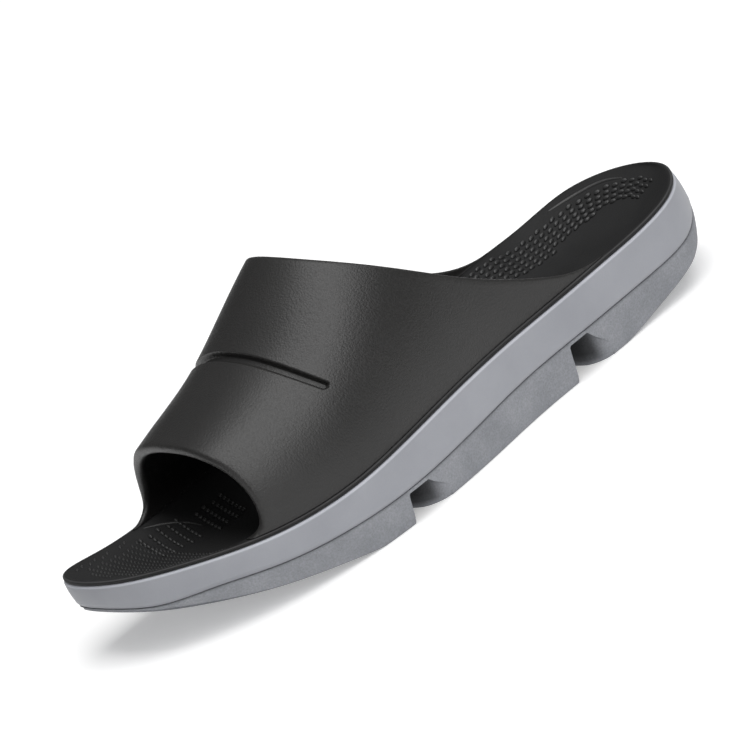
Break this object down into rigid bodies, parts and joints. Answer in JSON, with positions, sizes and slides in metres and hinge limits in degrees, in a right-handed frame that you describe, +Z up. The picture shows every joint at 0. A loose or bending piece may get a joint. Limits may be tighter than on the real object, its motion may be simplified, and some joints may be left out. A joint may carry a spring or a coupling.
{
  "type": "sport slide sandal",
  "caption": "Moulded-foam slide sandal for the left foot: a wide open-toe strap with a curved groove over a dished footbed, on a two-tone sole cut by channels.",
  "frame": {"origin": "on the floor under the middle of the sandal's box, standing on its sole", "axes": "+X to the toe, +Y to the outer side of the left foot, +Z up"},
  "size_m": [0.2876, 0.1028, 0.0978],
  "materials": {
    "outsole_foam": "fine sand texture",
    "midsole_foam": "smooth satin",
    "footbed_foam": "matte with small raised nubs",
    "upper_foam": "satin, fine leather-like grain"
  },
  "bodies": {
    "root": {"outsole": "outsole_foam", "midsole": "midsole_foam", "footbed": "footbed_foam", "upper": "upper_foam"}
  },
  "joints": []
}
